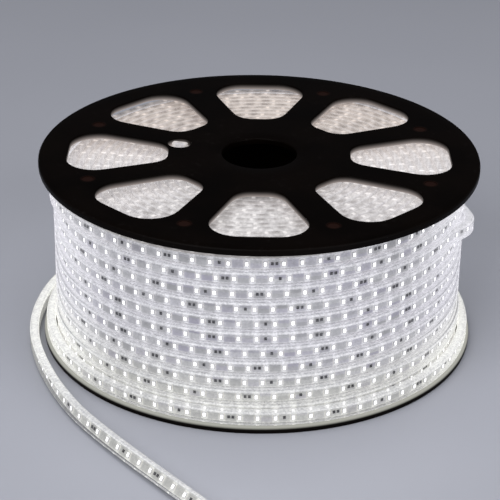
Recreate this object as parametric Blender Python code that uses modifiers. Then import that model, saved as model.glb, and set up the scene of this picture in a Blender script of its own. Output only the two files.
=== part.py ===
"""A reel of flat LED rope light.

A black plastic spool, two flanges on a barrel, is wound with rows of LED strip in a
flat clear sleeve, which stop a little short of the top flange. The strip's inner end
shows in a hole of that flange and one row stands off a little at the right. The last
turn lies loosely round the winding's foot; its free end comes off behind the reel and
lies on the floor.
Metres, +Z up. The reel's axis is Z and the bottom flange stands on z = 0.
"""

import math

import bmesh
import bpy
from mathutils import Matrix, Vector

# Strip
STRIP_WIDTH = 0.0115
STRIP_THICKNESS = 0.0070
STRIP_CORNER = 0.0014

# Winding
ROW_COUNT = 11
LAYER_COUNT = 14
ROW_SLACK = 0.00015
LAYER_SLACK = 0.0003
TOP_SPACE = 0.0058
GROOVE_WIDTH = 0.0018
GROOVE_DEPTH = 0.0012
WINDING_STEPS = 40

# Spool
CLEARANCE = 0.0003
BARREL_RADIUS = 0.0525
BARREL_WALL = 0.0030
FLANGE_OVERHANG = 0.0100
FLANGE_THICKNESS = 0.0050
FLANGE_CHAMFER = 0.0007
BORE_RADIUS = 0.0280
COLLAR_WALL = 0.0025
COLLAR_DEPTH = 0.0120
SPOOL_STEPS = 96

# Flange windows: rounded trapezoids, narrow side towards the bore
WINDOW_COUNT = 8
WINDOW_INNER_REACH = 0.0685
WINDOW_OUTER_REACH = 0.1433
WINDOW_INNER_WIDTH = 0.0314
WINDOW_OUTER_WIDTH = 0.0890
WINDOW_INNER_FILLET = 0.0160
WINDOW_OUTER_FILLET = 0.0215
FILLET_STEPS = 5

# Shallow round marks between the windows of the top flange
MARK_REACH = 0.1345
MARK_RADIUS = 0.0045
MARK_DEPTH = 0.0006
MARK_SIDES = 12

# Hole of the top flange that the strip's inner end comes up through
END_HOLE_RADIUS = 0.0092
END_HOLE_REACH = 0.0629
END_HOLE_ANGLE = math.radians(163.7)
END_HOLE_SIDES = 20
END_RECESS = 0.0004

# Loose turn: stretch of one row that stands off the winding at the right
LOOSE_ROW = 8
LOOSE_ANGLE = math.radians(-15.0)
LOOSE_HALF_ANGLE = math.radians(11.0)
LOOSE_RISE = 0.0095
LOOSE_EDGE = 0.0008
LOOSE_STEPS = 10

# Free end: one last turn round the winding's foot, then it slips over the flange's rim
# behind the reel, comes round on the floor at the left, lying on its edge, and runs off
# to the front.
FLOOR_LIFT = 0.00005
LAST_TURN_SPACE = 0.0007
LAST_TURN_START = 56
LAST_TURN_END = 376
LAST_TURN_STEP = 8
FREE_END_POINTS = 136

ROW_PITCH = STRIP_WIDTH + ROW_SLACK
LAYER_PITCH = STRIP_THICKNESS + LAYER_SLACK
WINDING_HEIGHT = ROW_COUNT * ROW_PITCH
WINDING_BORE = BARREL_RADIUS + CLEARANCE
WINDING_RADIUS = WINDING_BORE + LAYER_COUNT * LAYER_PITCH
WINDING_BASE = FLANGE_THICKNESS + CLEARANCE
WINDING_TOP = WINDING_BASE + WINDING_HEIGHT
FLANGE_RADIUS = WINDING_RADIUS + FLANGE_OVERHANG
REEL_HEIGHT = WINDING_TOP + TOP_SPACE + FLANGE_THICKNESS
BARREL_TOP = REEL_HEIGHT - FLANGE_THICKNESS - CLEARANCE
COLLAR_RADIUS = BARREL_RADIUS - BARREL_WALL - CLEARANCE
ON_FLOOR = STRIP_WIDTH / 2 + FLOOR_LIFT
ON_BOTTOM_ROW = WINDING_BASE + ROW_PITCH / 2
LAST_TURN_RADIUS = WINDING_RADIUS + LAST_TURN_SPACE + STRIP_THICKNESS / 2

# Each stop is (angle round the reel in degrees, radius, height of the strip's middle).
# These follow on the last turn.
FREE_END_ROUTE = [
    (27, 0.1603, ON_BOTTOM_ROW),
    (37, 0.1640, ON_BOTTOM_ROW),
    (46, 0.1668, ON_BOTTOM_ROW),
    (55, 0.1673, ON_BOTTOM_ROW),
    (64, 0.1673, ON_BOTTOM_ROW),
    (74, 0.1675, ON_BOTTOM_ROW),
    (86, 0.1680, ON_BOTTOM_ROW),
    (96, 0.1689, ON_BOTTOM_ROW),
    (105, 0.1695, 0.0108),
    (114, 0.1699, 0.0096),
    (123, 0.1702, 0.0082),
    (132, 0.1704, 0.0070),
    (141, 0.1706, ON_FLOOR),
    (151, 0.1708, ON_FLOOR),
    (160, 0.1709, ON_FLOOR),
    (168, 0.1714, ON_FLOOR),
    (175, 0.1722, ON_FLOOR),
    (182, 0.1734, ON_FLOOR),
    (189, 0.1748, ON_FLOOR),
    (195, 0.1760, ON_FLOOR),
    (201, 0.1774, ON_FLOOR),
    (209, 0.1803, ON_FLOOR),
    (219, 0.1865, ON_FLOOR),
    (229, 0.1953, ON_FLOOR),
    (237, 0.2048, ON_FLOOR),
    (244, 0.2157, ON_FLOOR),
    (250, 0.2280, ON_FLOOR),
    (255, 0.2410, ON_FLOOR),
    (259, 0.2540, ON_FLOOR),
    (262.5, 0.2675, ON_FLOOR),
    (265.5, 0.2810, ON_FLOOR),
    (268, 0.2940, ON_FLOOR),
]


def clear_scene():
    for old in list(bpy.data.objects):
        bpy.data.objects.remove(old, do_unlink=True)


def new_collection(name):
    collection = bpy.data.collections.new(name)
    bpy.context.scene.collection.children.link(collection)
    return collection


def plastic(name, colour, roughness, metallic=0.0):
    material = bpy.data.materials.new(name)
    material.use_nodes = True
    shader = material.node_tree.nodes["Principled BSDF"]
    shader.inputs["Base Color"].default_value = (*colour, 1.0)
    shader.inputs["Roughness"].default_value = roughness
    shader.inputs["Metallic"].default_value = metallic
    material.diffuse_color = (*colour, 1.0)
    return material


def add_object(name, data, collection, material=None):
    thing = bpy.data.objects.new(name, data)
    collection.objects.link(thing)
    if material is not None:
        data.materials.append(material)
    return thing


def turned(name, profile, steps, collection, material):
    """Turn a closed (radius, height) profile about Z; it runs outwards along its top."""
    mesh = bpy.data.meshes.new(name)
    count = len(profile)
    corners = [(radius, 0.0, height) for radius, height in profile]
    sides = [(index, (index + 1) % count) for index in range(count)]
    mesh.from_pydata(corners, sides, [])
    thing = add_object(name, mesh, collection, material)
    screw = thing.modifiers.new("Turn", "SCREW")
    screw.axis = "Z"
    screw.angle = 2 * math.pi
    screw.steps = steps
    screw.render_steps = steps
    screw.use_merge_vertices = True
    screw.merge_threshold = 0.00001
    screw.use_smooth_shade = False
    return thing


def fillet(before, corner, after, radius, steps):
    """Arc of the given radius that rounds one corner of a flat outline."""
    towards = (before - corner).normalized()
    onwards = (after - corner).normalized()
    half_angle = towards.angle(onwards) / 2
    middle = (towards + onwards).normalized()
    centre = corner + middle * (radius / math.sin(half_angle))
    start = corner + towards * (radius / math.tan(half_angle)) - centre
    end = corner + onwards * (radius / math.tan(half_angle)) - centre
    sweep = math.atan2(start.x * end.y - start.y * end.x, start.dot(end))
    arc = []
    for step in range(steps + 1):
        arc.append(centre + Matrix.Rotation(sweep * step / steps, 2) @ start)
    return arc


def window_outline(angle):
    """Rounded trapezoid whose middle line points outwards at the given angle."""
    inner = WINDOW_INNER_WIDTH / 2
    outer = WINDOW_OUTER_WIDTH / 2
    corners = [
        Vector((WINDOW_INNER_REACH, -inner)),
        Vector((WINDOW_OUTER_REACH, -outer)),
        Vector((WINDOW_OUTER_REACH, outer)),
        Vector((WINDOW_INNER_REACH, inner)),
    ]
    radii = [WINDOW_INNER_FILLET, WINDOW_OUTER_FILLET, WINDOW_OUTER_FILLET, WINDOW_INNER_FILLET]
    points = []
    for index, corner in enumerate(corners):
        before = corners[index - 1]
        after = corners[(index + 1) % len(corners)]
        points += fillet(before, corner, after, radii[index], FILLET_STEPS)
    turn = Matrix.Rotation(angle, 2)
    return [turn @ point for point in points]


def circle_outline(reach, angle, radius, sides):
    centre = Vector((reach * math.cos(angle), reach * math.sin(angle)))
    spokes = [2 * math.pi * index / sides for index in range(sides)]
    return [centre + radius * Vector((math.cos(spoke), math.sin(spoke))) for spoke in spokes]


def window_angles(offset=0.0):
    return [2 * math.pi * (index + offset) / WINDOW_COUNT for index in range(WINDOW_COUNT)]


def plates(name, outlines, low, high, collection):
    """Closed mesh of flat plates with the given outlines, from height low to high."""
    curve = bpy.data.curves.new(name, "CURVE")
    curve.dimensions = "2D"
    curve.fill_mode = "BOTH"
    curve.extrude = (high - low) / 2
    for outline in outlines:
        spline = curve.splines.new("POLY")
        spline.points.add(len(outline) - 1)
        for point, place in zip(spline.points, outline):
            point.co = (place.x, place.y, 0.0, 1.0)
        spline.use_cyclic_u = True
    flat = add_object(name + "_outline", curve, collection)
    flat.location.z = (low + high) / 2
    bpy.context.view_layer.update()
    evaluated = flat.evaluated_get(bpy.context.evaluated_depsgraph_get())
    mesh = bpy.data.meshes.new_from_object(evaluated)
    place = flat.matrix_world.copy()
    bpy.data.objects.remove(flat, do_unlink=True)
    shape = bmesh.new()
    shape.from_mesh(mesh)
    bmesh.ops.remove_doubles(shape, verts=shape.verts, dist=0.000001)
    bmesh.ops.recalc_face_normals(shape, faces=shape.faces)
    shape.to_mesh(mesh)
    shape.free()
    solid = add_object(name, mesh, collection)
    solid.matrix_world = place
    return solid


def cut(thing, cutter):
    cutter.hide_render = True
    cutter.display_type = "WIRE"
    boolean = thing.modifiers.new(cutter.name, "BOOLEAN")
    boolean.operation = "DIFFERENCE"
    boolean.solver = "EXACT"
    boolean.object = cutter


def grooved_run(start, end, pitch, count):
    """Points along a straight run of count turns, with a groove between each two.

    Each point is (distance along the run, depth below its surface).
    """
    points = [(start, 0.0)]
    direction = 1.0 if end > start else -1.0
    for turn in range(1, count):
        middle = start + direction * turn * pitch
        points.append((middle - direction * GROOVE_WIDTH / 2, 0.0))
        points.append((middle, GROOVE_DEPTH))
        points.append((middle + direction * GROOVE_WIDTH / 2, 0.0))
    points.append((end, 0.0))
    return points


def make_winding(collection, material):
    """One turned ring: layers show on its two ends and rows on its outside."""
    top = grooved_run(WINDING_BORE, WINDING_RADIUS, LAYER_PITCH, LAYER_COUNT)
    side = grooved_run(WINDING_TOP, WINDING_BASE, ROW_PITCH, ROW_COUNT)
    base = grooved_run(WINDING_RADIUS, WINDING_BORE, LAYER_PITCH, LAYER_COUNT)
    profile = [(radius, WINDING_TOP - depth) for radius, depth in top]
    profile += [(WINDING_RADIUS - depth, height) for height, depth in side[1:]]
    profile += [(radius, WINDING_BASE + depth) for radius, depth in base[1:]]
    return turned("winding", profile, WINDING_STEPS, collection, material)


def make_barrel(collection, material):
    inside = BARREL_RADIUS - BARREL_WALL
    profile = [
        (inside, BARREL_TOP),
        (BARREL_RADIUS, BARREL_TOP),
        (BARREL_RADIUS, WINDING_BASE),
        (inside, WINDING_BASE),
    ]
    return turned("barrel", profile, SPOOL_STEPS, collection, material)


def flange_profile():
    """Bottom flange's section: a bored plate with a collar that locates the barrel."""
    inner_face = FLANGE_THICKNESS
    collar_end = inner_face + COLLAR_DEPTH
    return [
        (COLLAR_RADIUS - COLLAR_WALL, collar_end),
        (COLLAR_RADIUS, collar_end),
        (COLLAR_RADIUS, inner_face),
        (FLANGE_RADIUS - FLANGE_CHAMFER, inner_face),
        (FLANGE_RADIUS, inner_face - FLANGE_CHAMFER),
        (FLANGE_RADIUS, FLANGE_CHAMFER),
        (FLANGE_RADIUS - FLANGE_CHAMFER, 0.0),
        (BORE_RADIUS, 0.0),
        (BORE_RADIUS, inner_face),
        (COLLAR_RADIUS - COLLAR_WALL, inner_face),
    ]


def make_bottom_flange(collection, cutters, material):
    flange = turned("bottom_flange", flange_profile(), SPOOL_STEPS, collection, material)
    outlines = [window_outline(angle) for angle in window_angles()]
    past = FLANGE_THICKNESS
    cut(flange, plates("bottom_windows", outlines, -past, FLANGE_THICKNESS + past, cutters))
    return flange


def make_top_flange(collection, cutters, material):
    profile = [(radius, REEL_HEIGHT - height) for radius, height in reversed(flange_profile())]
    flange = turned("top_flange", profile, SPOOL_STEPS, collection, material)
    outlines = [window_outline(angle) for angle in window_angles()]
    hole = [circle_outline(END_HOLE_REACH, END_HOLE_ANGLE, END_HOLE_RADIUS, END_HOLE_SIDES)]
    past = FLANGE_THICKNESS
    low = REEL_HEIGHT - FLANGE_THICKNESS - past
    cut(flange, plates("top_windows", outlines, low, REEL_HEIGHT + past, cutters))
    cut(flange, plates("inner_end_hole", hole, low, REEL_HEIGHT + past, cutters))
    marks = [circle_outline(MARK_REACH, angle, MARK_RADIUS, MARK_SIDES) for angle in window_angles(0.5)]
    cut(flange, plates("top_marks", marks, REEL_HEIGHT - MARK_DEPTH, REEL_HEIGHT + past, cutters))
    return flange


def strip_section(width, thickness, corner):
    """Outline of the sleeve's section, its corners cut off flat."""
    across = thickness / 2
    up = width / 2
    return [
        (across, corner - up),
        (across, up - corner),
        (across - corner, up),
        (corner - across, up),
        (-across, up - corner),
        (-across, corner - up),
        (corner - across, -up),
        (across - corner, -up),
    ]


def make_inner_end(collection, material):
    """The strip's cut inner end, standing on the winding and up into its hole of the top flange."""
    low = WINDING_TOP + CLEARANCE
    high = REEL_HEIGHT - END_RECESS
    turn = Matrix.Rotation(END_HOLE_ANGLE - math.pi / 2, 2)
    centre = Vector((END_HOLE_REACH * math.cos(END_HOLE_ANGLE), END_HOLE_REACH * math.sin(END_HOLE_ANGLE)))
    section = strip_section(STRIP_WIDTH, STRIP_THICKNESS, STRIP_CORNER)
    outline = [centre + turn @ Vector(point) for point in section]
    end = plates("inner_end", [outline], low, high, collection)
    end.data.materials.append(material)
    return end


def make_loose_turn(collection, material):
    """Crescent on the winding: the stretch of strip that stands off, with the gap behind it."""
    inner = WINDING_RADIUS + CLEARANCE + 0.0001
    rise = LOOSE_RISE - LOOSE_EDGE - CLEARANCE
    outside = []
    inside = []
    for step in range(LOOSE_STEPS + 1):
        place = 2 * step / LOOSE_STEPS - 1
        angle = LOOSE_ANGLE + LOOSE_HALF_ANGLE * place
        spoke = Vector((math.cos(angle), math.sin(angle)))
        inside.append(spoke * inner)
        outside.append(spoke * (inner + LOOSE_EDGE + rise * (1 + math.cos(math.pi * place)) / 2))
    low = WINDING_BASE + LOOSE_ROW * ROW_PITCH + ROW_SLACK / 2
    outline = outside + list(reversed(inside))
    turn = plates("loose_turn", [outline], low, low + STRIP_WIDTH, collection)
    turn.data.materials.append(material)
    return turn


def smooth_route(stops, count):
    """Points at even spacing along a Catmull-Rom curve through the stops."""
    ends = [stops[0] * 2 - stops[1]] + stops + [stops[-1] * 2 - stops[-2]]
    fine = []
    for first, second, third, fourth in zip(ends, ends[1:], ends[2:], ends[3:]):
        for step in range(20):
            t = step / 20
            fine.append(0.5 * (2 * second + (third - first) * t
                               + (2 * first - 5 * second + 4 * third - fourth) * t ** 2
                               + (3 * second - first - 3 * third + fourth) * t ** 3))
    fine.append(stops[-1])
    lengths = [0.0]
    for before, after in zip(fine, fine[1:]):
        lengths.append(lengths[-1] + (after - before).length)
    points = []
    place = 0
    for index in range(count):
        wanted = lengths[-1] * index / (count - 1)
        while place < len(fine) - 2 and lengths[place + 1] < wanted:
            place += 1
        share = (wanted - lengths[place]) / (lengths[place + 1] - lengths[place])
        points.append(fine[place].lerp(fine[place + 1], share))
    return points


def make_free_end(collection, guides, material):
    """The strip's last turn and free end, swept along their route with the width upright."""
    stops = []
    turn_angles = range(LAST_TURN_START, LAST_TURN_END + 1, LAST_TURN_STEP)
    last_turn = [(degrees, LAST_TURN_RADIUS, ON_BOTTOM_ROW) for degrees in turn_angles]
    for degrees, radius, height in last_turn + FREE_END_ROUTE:
        angle = math.radians(degrees)
        stops.append(Vector((radius * math.cos(angle), radius * math.sin(angle), height)))
    section = bpy.data.curves.new("strip_section", "CURVE")
    section.dimensions = "2D"
    outline = section.splines.new("POLY")
    corners = strip_section(STRIP_WIDTH, STRIP_THICKNESS, STRIP_CORNER)
    outline.points.add(len(corners) - 1)
    for point, (across, up) in zip(outline.points, reversed(corners)):
        point.co = (across, up, 0.0, 1.0)
    outline.use_cyclic_u = True
    guide = add_object("strip_section", section, guides)
    guide.hide_render = True
    guide.display_type = "WIRE"

    curve = bpy.data.curves.new("free_end", "CURVE")
    curve.dimensions = "3D"
    curve.twist_mode = "Z_UP"
    curve.bevel_mode = "OBJECT"
    curve.bevel_object = guide
    curve.use_fill_caps = True
    route = curve.splines.new("POLY")
    points = smooth_route(stops, FREE_END_POINTS)
    route.points.add(len(points) - 1)
    for point, place in zip(route.points, points):
        point.co = (*place, 1.0)
    return add_object("free_end", curve, collection, material)


def build():
    clear_scene()
    parts = new_collection("led_rope_light_reel")
    guides = new_collection("cutters_and_guides")
    black = plastic("black_plastic", (0.012, 0.010, 0.010), 0.42)
    sleeve = plastic("led_strip", (0.80, 0.81, 0.85), 0.30)
    make_bottom_flange(parts, guides, black)
    make_top_flange(parts, guides, black)
    make_barrel(parts, black)
    make_winding(parts, sleeve)
    make_inner_end(parts, sleeve)
    make_loose_turn(parts, sleeve)
    make_free_end(parts, guides, sleeve)


build()
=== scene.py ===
"""Looks of the LED rope light on its reel.

Flat LED strip in a clear sleeve is wound in level rows on a black spool with windowed
flanges. One row stands off a little at the right, the strip's inner end shows in a hole
of the top flange, the last turn lies round the foot, and from it the free end comes off
behind the reel and lies on the floor. Metres, +Z up.
"""

import math

import bmesh
import bpy
import numpy as np
from mathutils import Matrix


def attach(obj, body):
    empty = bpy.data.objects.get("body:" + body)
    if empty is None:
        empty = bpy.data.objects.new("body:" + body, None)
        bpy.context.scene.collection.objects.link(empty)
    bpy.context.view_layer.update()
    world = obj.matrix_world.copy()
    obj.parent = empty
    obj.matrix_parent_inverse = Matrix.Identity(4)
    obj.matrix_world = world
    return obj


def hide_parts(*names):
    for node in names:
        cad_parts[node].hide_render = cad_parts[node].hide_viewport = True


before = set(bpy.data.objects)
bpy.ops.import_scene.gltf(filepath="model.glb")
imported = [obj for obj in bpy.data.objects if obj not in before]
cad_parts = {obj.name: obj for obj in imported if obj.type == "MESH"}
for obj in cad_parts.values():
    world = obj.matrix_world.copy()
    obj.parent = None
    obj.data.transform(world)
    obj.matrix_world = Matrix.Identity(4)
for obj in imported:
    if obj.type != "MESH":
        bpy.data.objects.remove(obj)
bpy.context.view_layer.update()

# The strip's sleeve, and how it is wound
STRIP_WIDTH = 0.0115
STRIP_THICKNESS = 0.0070
SLEEVE_CORNER = 0.0022
ROW_COUNT = 11
LAYER_COUNT = 14
ROW_PITCH = 0.01165
LAYER_PITCH = 0.0073
WINDING_BORE = 0.0528
WINDING_RADIUS = 0.1550
WINDING_BASE = 0.0053
WINDING_TOP = WINDING_BASE + ROW_COUNT * ROW_PITCH

# The circuit board in the sleeve. Depths are measured outwards from the sleeve's middle.
LIGHT_PITCH = 0.0125
BOARD_WIDTH = 0.0078
BOARD_THICKNESS = 0.0004
BOARD_DEPTH = 0.0006
GAPS_PER_UNIT = 6
RESISTOR_ASIDE = 0.00155
WIRE_RADIUS = 0.0006
WIRE_REACH = 0.0042

# The spool
FLANGE_RADIUS = 0.1650
FLANGE_THICKNESS = 0.0050
REEL_HEIGHT = 0.14425
BORE_RADIUS = 0.0280
COLLAR_RADIUS = 0.0492
COLLAR_WALL = 0.0025
COLLAR_DEPTH = 0.0120
BORE_RING = 0.0420
SECTOR_INNER = COLLAR_RADIUS + 0.0055
SECTOR_OUTER = FLANGE_RADIUS - 0.0085
ARC_STEPS = 18
SIDE_STEPS = 16
EDGE_STEPS = 4
EDGE_ROUNDING = 0.0011
WINDOW_COUNT = 8
WINDOW_INNER_REACH = 0.0685
WINDOW_OUTER_REACH = 0.1433
WINDOW_INNER_WIDTH = 0.0314
WINDOW_OUTER_WIDTH = 0.0890
WINDOW_INNER_FILLET = 0.0160
WINDOW_OUTER_FILLET = 0.0215
WINDOW_MIDDLE = 0.1100
MARK_REACH = 0.1345
MARK_RADIUS = 0.0045
MARK_DEPTH = 0.00036
END_HOLE_RADIUS = 0.0092
END_HOLE_REACH = 0.0629
END_HOLE_ANGLE = math.radians(163.7)
END_RECESS = 0.0004

# Stretches of rows that stand off the winding: row, angle round the reel and half the
# stretch in degrees, and how far it stands off. The first is the loose turn.
STRAYS = [(8, -15.0, 11.0, 0.0093), (10, 200.0, 26.0, 0.0040), (1, -20.0, 60.0, 0.0018),
          (1, 205.0, 45.0, 0.0012), (9, 215.0, 24.0, 0.0010)]

# The rows climb from left to right across the front, as wound strip does: each is a ring
# tilted about the Y axis. The lowest, on the flange, stays nearly level, and at the back
# the top turns ride up.
ROW_LIFT = 0.0003
ROW_TILTS = [0.0002, 0.0017, 0.0022] + [0.0025] * 8
TOP_RIDE = 0.0018

# The last turn and the free end that follows on it: angle round the reel in degrees,
# radius and, on the way down, height of the strip's middle. At last it leans back more
# and more.
ON_FLOOR = 0.0058
ON_BOTTOM_ROW = 0.011125
LAST_TURN = [(degrees, 0.1592, ON_BOTTOM_ROW) for degrees in range(56, 377, 8)]
LAST_TURN_SAG = 0.0012
ROUTE_ON_ROW = [
    (27, 0.1603), (37, 0.1640), (46, 0.1668), (55, 0.1673), (64, 0.1673), (74, 0.1675),
    (86, 0.1680), (96, 0.1689),
]
ROUTE_DOWN = [
    (105, 0.1695, 0.0108), (114, 0.1699, 0.0096), (123, 0.1702, 0.0082),
    (132, 0.1704, 0.0070),
]
ROUTE_ON_FLOOR = [
    (141, 0.1706), (151, 0.1703), (160, 0.1698), (168, 0.1699), (175, 0.1703),
    (182, 0.1714), (189, 0.1728), (195, 0.1741), (201, 0.1757), (209, 0.1789),
    (219, 0.1856), (229, 0.1953), (237, 0.2048), (244, 0.2157), (250, 0.2280),
    (255, 0.2410), (259, 0.2540), (262.5, 0.2675), (265.5, 0.2810), (268, 0.2940),
]
FREE_END_ROUTE = ([(*stop, ON_BOTTOM_ROW) for stop in ROUTE_ON_ROW] + ROUTE_DOWN
                  + [(*stop, ON_FLOOR) for stop in ROUTE_ON_FLOOR])
FREE_END_POINTS = 430
FREE_END_LEAN = math.radians(42.0)
LEAN_LENGTH = 0.30
FREE_END_PHASE = 0.35

# Materials: names shared by meshes and nodes
STRIP_UV = "strip_uv"
BLACK = (0.0, 0.0, 0.0)
WHITE = (1.0, 1.0, 1.0)

# The camera: its tilt, its roll, the point it looks at and its distance in flange radii,
# its focal length and the picture's width in pixels, and the width of its sensor
CAMERA_TILT = math.radians(26.24)
CAMERA_ROLL = math.radians(0.84)
CAMERA_TARGET = np.array([-0.036, 0.0, 0.383])
CAMERA_DISTANCE = 8.617
FOCAL_PIXELS = 1849.0
PICTURE_PIXELS = 500.0
SENSOR_WIDTH = 36.0

RANDOM = np.random.default_rng(31)


# ---------- lengths and steps ----------

def reach_along(points):
    """Distance of each point from the first, along the line through them."""
    return np.concatenate([[0.0], np.cumsum(np.linalg.norm(np.diff(points, axis=0), axis=1))])


def points_at(wanted, reach, points):
    """Points between the given ones, at the wanted distances."""
    return np.stack([np.interp(wanted, reach, column) for column in points.T], -1)


def smooth_step(share):
    """3 s^2 - 2 s^3, with s the share held between 0 and 1."""
    share = np.clip(share, 0, 1)
    return share * share * (3 - 2 * share)


# ---------- camera ----------

def put(name, data, right, up, back, place):
    """An object for a camera or light: its axes and its place are its matrix's columns."""
    thing = bpy.data.objects.new(name, data)
    bpy.context.scene.collection.objects.link(thing)
    matrix = Matrix.Identity(4)
    for axis, direction in enumerate((right, up, back, place)):
        for row in range(3):
            matrix[row][axis] = direction[row]
    thing.matrix_world = matrix
    return thing


def place_camera():
    """Long lens, looking down a little, as far off as the reel's outlines ask."""
    back = np.array([0.0, -math.cos(CAMERA_TILT), math.sin(CAMERA_TILT)])
    place = CAMERA_TARGET * FLANGE_RADIUS + back * CAMERA_DISTANCE * FLANGE_RADIUS
    right = np.array([1.0, 0.0, 0.0])
    up = np.cross(back, right)
    turned_right = math.cos(CAMERA_ROLL) * right + math.sin(CAMERA_ROLL) * up
    turned_up = -math.sin(CAMERA_ROLL) * right + math.cos(CAMERA_ROLL) * up
    data = bpy.data.cameras.new("camera")
    data.sensor_width = SENSOR_WIDTH
    data.lens = FOCAL_PIXELS / PICTURE_PIXELS * SENSOR_WIDTH
    data.clip_start = 0.05
    data.clip_end = 50.0
    bpy.context.scene.camera = put("camera", data, turned_right, turned_up, back, place)


# ---------- materials ----------

class Value:
    """A socket in a material. Sums, products and comparisons on it add Math nodes."""

    def __init__(self, finish, socket):
        self.finish = finish
        self.socket = socket

    def math(self, operation, *others):
        values = dict(enumerate((self, *others)))
        return self.finish.node("ShaderNodeMath", {"operation": operation}, values)

    def __add__(self, other): return self.math("ADD", other)
    def __radd__(self, other): return self.math("ADD", other)
    def __sub__(self, other): return self.math("SUBTRACT", other)
    def __rsub__(self, other): return self.finish.node(
        "ShaderNodeMath", {"operation": "SUBTRACT"}, {0: other, 1: self})
    def __mul__(self, other): return self.math("MULTIPLY", other)
    def __rmul__(self, other): return self.math("MULTIPLY", other)
    def __truediv__(self, other): return self.math("DIVIDE", other)
    def __pow__(self, other): return self.math("POWER", other)
    def __abs__(self): return self.math("ABSOLUTE")

    def smaller(self, other): return self.math("MINIMUM", other)
    def larger(self, other): return self.math("MAXIMUM", other)

    def rise(self, low, high):
        """0 below low, 1 above high, with a smooth step between; it falls where high < low."""
        return self.finish.node(
            "ShaderNodeMapRange", {"interpolation_type": "SMOOTHSTEP"},
            {"Value": self, "From Min": low, "From Max": high})


class Finish:
    """A Principled material and the one method that adds any node to it."""

    def __init__(self, name, colour, **sockets):
        self.material = bpy.data.materials.new(name)
        self.material.use_nodes = True
        self.material.diffuse_color = (*colour, 1.0)
        self.tree = self.material.node_tree
        self.shader = self.tree.nodes["Principled BSDF"]
        self.set(Base_Color=(*colour, 1.0), **sockets)

    def feed(self, socket, value):
        if isinstance(value, Value):
            self.tree.links.new(value.socket, socket)
        else:
            socket.default_value = value

    def set(self, **sockets):
        """Set or link sockets of the shader; an underscore stands for a space."""
        for name, value in sockets.items():
            self.feed(self.shader.inputs[name.replace("_", " ")], value)

    def node(self, kind, settings=None, values=None, output=0):
        """Any node: its settings are set first, then its sockets are fed."""
        made = self.tree.nodes.new(kind)
        for name, setting in (settings or {}).items():
            setattr(made, name, setting)
        for name, value in (values or {}).items():
            self.feed(made.inputs[name], value)
        return Value(self, made.outputs[output])

    def place(self):
        return self.node("ShaderNodeTexCoord", output="Object")

    def parts(self, vector):
        split = self.node("ShaderNodeSeparateXYZ", values={0: vector})
        outputs = split.socket.node.outputs
        return [Value(self, outputs[index]) for index in range(3)]

    def noise(self, scale, detail=2.0, vector=None):
        return self.node("ShaderNodeTexNoise", values={
            "Vector": self.place() if vector is None else vector,
            "Scale": scale, "Detail": detail})

    def mix(self, share, first, second):
        """Colour between two colours or colour links."""
        first, second = (colour if isinstance(colour, Value) else (*colour, 1.0)
                         for colour in (first, second))
        return self.node("ShaderNodeMix", {"data_type": "RGBA"},
                         {0: share, 6: first, 7: second}, output=2)

    def bump(self, height, strength, distance):
        self.set(Normal=self.node("ShaderNodeBump", values={
            "Height": height, "Strength": strength, "Distance": distance}))


def uv_parts(finish):
    """The two numbers of a piece's own UV map: lights along the strip, share of its width."""
    uv = finish.node("ShaderNodeUVMap", {"uv_map": STRIP_UV})
    along, across, _ = finish.parts(uv)
    return along, across


def near_light(along):
    """Distance to the nearest light, in light pitches: |fraction(along + 1/2) - 1/2|."""
    return abs((along + 0.5).math("FRACT") - 0.5)


def black_plastic():
    """Satin black moulding with a fine grain, faint scuffs and browner shallow marks.

    Under a window's edge the plastic takes up some of the lights' glow: its emission rises
    with the square of the depth below the upper face, from 0 there to 1 at the under face.
    The bottom flange's ledge outside the last turn is lit as well, and so is the rim below
    it, the less the lower, down to none at a height of 3.1 mm.
    """
    finish = Finish("black_plastic", (0.0016, 0.0009, 0.0006), Roughness=0.34,
                    Specular_IOR_Level=0.02)
    x, y, z = finish.parts(finish.place())
    reach = (x * x + y * y) ** 0.5
    turn = y.math("ARCTAN2", x) / (2 * math.pi / WINDOW_COUNT)
    aside = (turn.math("FRACT") - 0.5) * (2 * math.pi / WINDOW_COUNT) * MARK_REACH
    away = ((reach - MARK_REACH) ** 2.0 + aside * aside) ** 0.5
    mark = away.rise(MARK_RADIUS * 1.45, MARK_RADIUS * 0.65) * z.rise(0.138, 0.141)
    clouds = finish.noise(22.0, 3.0)
    scuffs = finish.noise(260.0, 3.0).rise(0.60, 0.74) * clouds.rise(0.40, 0.62)
    # Lighter towards the flange's outer rounded edge.
    outer_edge = reach.rise(FLANGE_RADIUS - 0.0016, FLANGE_RADIUS - 0.0002)
    plain = finish.mix(clouds.rise(0.30, 0.70), (0.0010, 0.0005, 0.0003),
                       (0.0022, 0.0012, 0.0008))
    with_outer_edge = finish.mix(outer_edge * 0.20, plain, (0.012, 0.011, 0.011))
    scuffed = finish.mix(scuffs * 0.30, with_outer_edge, (0.012, 0.010, 0.010))
    finish.set(Base_Color=finish.mix(mark * 0.85, scuffed, (0.0150, 0.0060, 0.0045)))
    finish.set(Roughness=0.32 + clouds * 0.08 + scuffs * 0.14 + mark * 0.06)
    depth = (REEL_HEIGHT - z) / FLANGE_THICKNESS
    lit = depth.smaller(1.0) ** 2.0 * depth.rise(1.05, 0.99) * depth.rise(0.02, 0.20)
    lit = lit * reach.rise(0.056, 0.064) * reach.rise(0.150, 0.146)
    ledge = reach.rise(0.1608, 0.1622) * z.rise(0.0031, 0.0057) * z.rise(0.0066, 0.0058)
    glow = finish.mix(lit, BLACK, (0.40, 0.345, 0.325))
    finish.set(Emission_Color=finish.mix(ledge, glow, (0.50, 0.50, 0.45)), Emission_Strength=1.0)
    finish.bump(finish.noise(1500.0, 2.0), 0.18, 0.0002)
    return finish.material


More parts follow.
